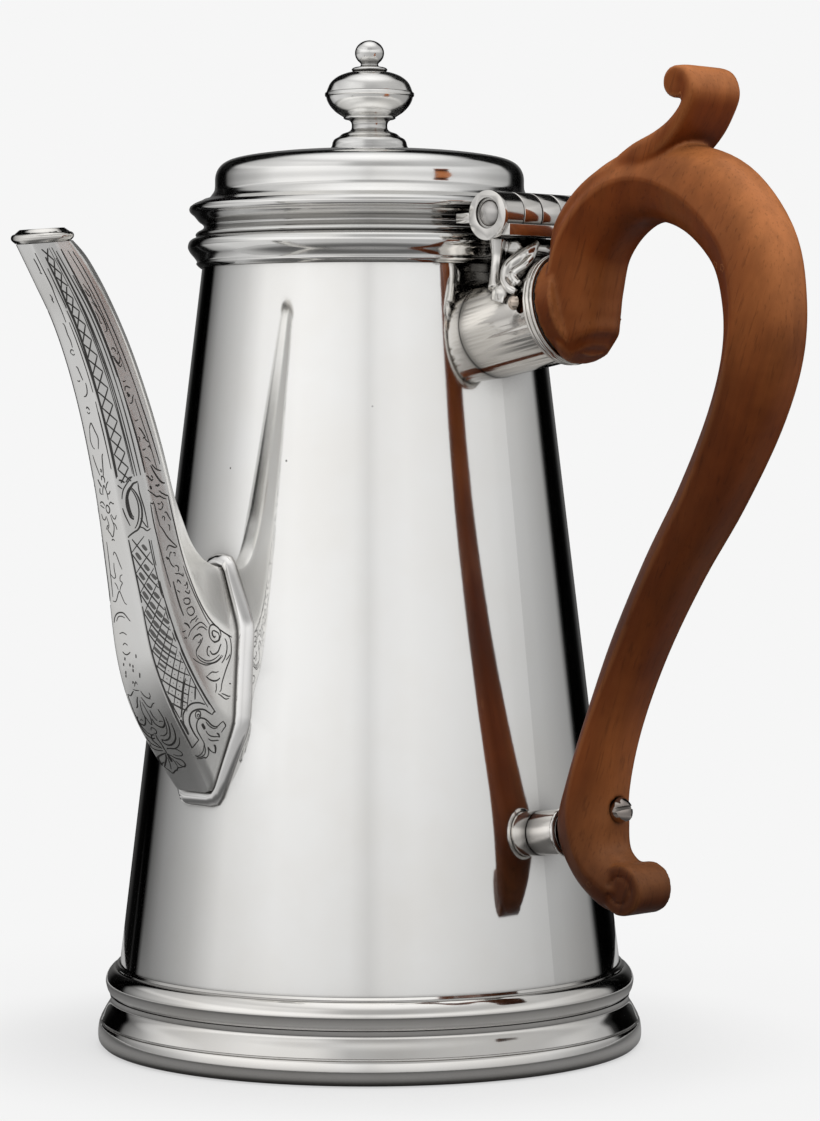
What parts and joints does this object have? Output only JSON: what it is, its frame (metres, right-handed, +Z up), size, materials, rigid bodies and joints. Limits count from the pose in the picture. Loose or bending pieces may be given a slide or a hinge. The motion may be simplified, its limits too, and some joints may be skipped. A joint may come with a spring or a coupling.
{
  "type": "coffee pot",
  "caption": "Tapering silver coffee pot with an engraved eight-sided curved spout, a hinged domed lid with a finial, and a carved wooden handle at right angles to the spout.",
  "frame": {"origin": "centre of the resting face under the foot, on the body's vertical axis", "axes": "+Z up, the spout points to -Y, the handle and the lid's hinge are on +X; metres"},
  "size_m": [0.1954, 0.174, 0.2402],
  "materials": {
    "body_silver": "polished silver",
    "base_silver": "polished silver, slightly tarnished",
    "foot_silver": "polished silver",
    "rim_silver": "polished silver",
    "engraved_silver": "polished silver",
    "frame_silver": "polished silver",
    "lip_silver": "polished silver",
    "fitting_silver": "polished silver, slightly tarnished",
    "collar_silver": "polished silver, slightly tarnished",
    "lower_fitting_silver": "polished silver, slightly tarnished",
    "lower_collar_silver": "polished silver, slightly tarnished",
    "fruitwood": "waxed fruitwood, satin",
    "rivet_silver": "polished silver",
    "screw_silver": "polished silver, slightly tarnished",
    "bracket_silver": "polished silver, slightly tarnished",
    "leaf_silver": "polished silver, slightly tarnished",
    "pin_silver": "polished silver",
    "lid_leaf_silver": "polished silver, slightly tarnished",
    "lid_moulding_silver": "polished silver",
    "lid_silver": "polished silver",
    "bezel_silver": "polished silver",
    "finial_foot_silver": "polished silver",
    "urn_lower_silver": "polished silver",
    "urn_upper_silver": "polished silver",
    "ball_silver": "polished silver",
    "stud_silver": "polished silver, slightly tarnished",
    "nut_silver": "polished silver, slightly tarnished"
  },
  "bodies": {
    "pot": {"body_shell": "body_silver", "base_disc": "base_silver", "foot_moulding": "foot_silver", "rim_moulding": "rim_silver", "spout_body": "engraved_silver", "spout_joint_frame": "frame_silver", "spout_lip": "lip_silver", "upper_socket": "fitting_silver", "upper_socket_collar": "collar_silver", "lower_socket": "lower_fitting_silver", "lower_socket_collar": "lower_collar_silver", "handle": "fruitwood", "upper_handle_pin": "rivet_silver", "lower_handle_screw": "screw_silver", "hinge_bracket": "bracket_silver", "hinge_body_leaf": "leaf_silver", "hinge_pin": "pin_silver"},
    "lid": {"hinge_lid_leaf": "lid_leaf_silver", "lid_moulding": "lid_moulding_silver", "lid_shell": "lid_silver", "lid_bezel": "bezel_silver", "finial_foot": "finial_foot_silver", "finial_urn_lower": "urn_lower_silver", "finial_urn_upper": "urn_upper_silver", "finial_ball": "ball_silver", "finial_stud": "stud_silver", "finial_nut": "nut_silver"}
  },
  "joints": [
    {"name": "lid_hinge", "type": "hinge", "parent": "pot", "child": "lid", "pos_m": [0.054, 0, 0.1964], "axis": [0, 1, 0], "range_deg": [0, 100]}
  ]
}
